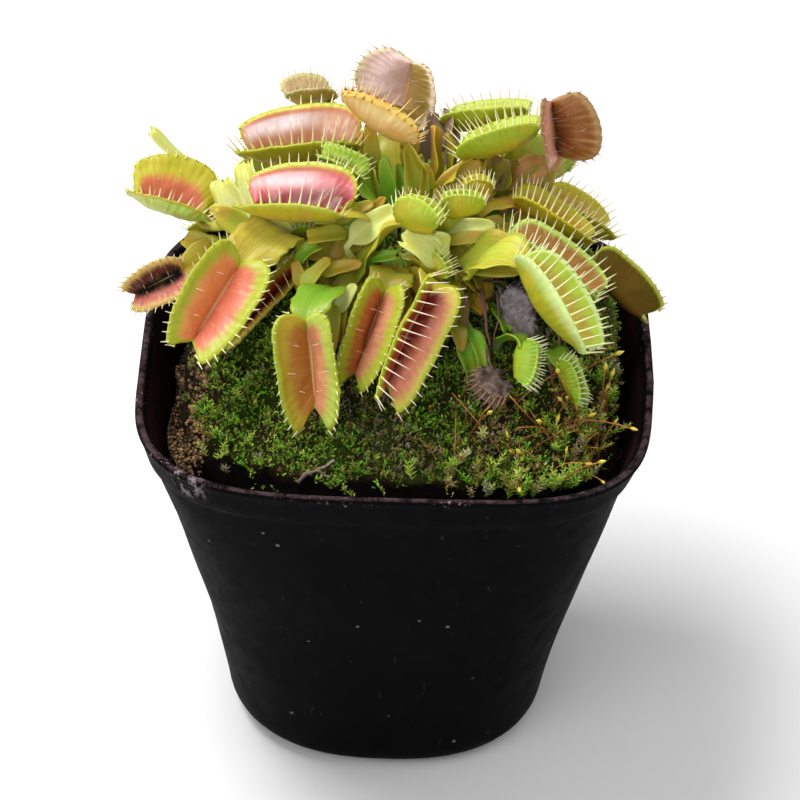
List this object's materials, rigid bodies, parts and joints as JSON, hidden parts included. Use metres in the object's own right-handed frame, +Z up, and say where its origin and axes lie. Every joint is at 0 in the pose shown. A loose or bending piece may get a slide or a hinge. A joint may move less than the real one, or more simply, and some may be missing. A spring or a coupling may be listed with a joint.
{
  "type": "potted venus flytrap",
  "caption": "Venus flytrap with winged leaf stalks and toothed two-lobed traps, growing in moss and peat in a soft black nursery pot.",
  "frame": {"origin": "centre of the pot's flat underside", "axes": "+Z up, -Y towards the side with the open stretch of moss, +X to the right seen from there"},
  "size_m": [0.0982, 0.0968, 0.1182],
  "materials": {
    "pot": "thin black nursery plastic, satin, scuffed pale along the rim",
    "peat": "dark damp peat, rough",
    "moss": "living moss, soft and uneven",
    "leaf_lime": "yellow-green leaf, waxy",
    "leaf_green": "fresh green leaf, waxy",
    "leaf_amber": "yellow-orange leaf, waxy",
    "leaf_rust": "rusty brown leaf, satin",
    "leaf_dead": "dead grey-brown leaf, dull and dry"
  },
  "bodies": {
    "root": {"pot": "pot", "peat": "peat", "moss": "moss", "leaf_left_front": "leaf_lime", "leaf_left_inner": "leaf_rust", "leaf_front_hanging": "leaf_lime", "leaf_front_centre": "leaf_amber", "leaf_front_toothed": "leaf_lime", "leaf_right_front": "leaf_green", "leaf_right_upper": "leaf_lime", "leaf_right_edge": "leaf_rust", "leaf_right_back": "leaf_amber", "leaf_grey_dead": "leaf_dead", "leaf_small_low": "leaf_green", "leaf_small_right": "leaf_green", "leaf_brown_dead": "leaf_dead", "leaf_left_pink": "leaf_amber", "leaf_back_pink": "leaf_lime", "leaf_centre_orange": "leaf_amber", "leaf_back_top": "leaf_amber", "leaf_back_left_top": "leaf_amber", "leaf_back_right": "leaf_lime", "leaf_back_right_high": "leaf_lime", "leaf_back_right_brown": "leaf_rust", "leaf_left_back": "leaf_green", "leaf_left_edge": "leaf_lime", "leaf_young_centre": "leaf_lime", "leaf_young_back": "leaf_green", "leaf_young_right": "leaf_lime", "leaf_young_back_right": "leaf_green", "leaf_young_front": "leaf_green", "leaf_young_left": "leaf_green", "leaf_rear_left": "leaf_lime", "leaf_rear_hanging": "leaf_lime", "leaf_rear_right": "leaf_green", "leaf_side_left": "leaf_green", "leaf_side_right": "leaf_amber"}
  },
  "joints": []
}
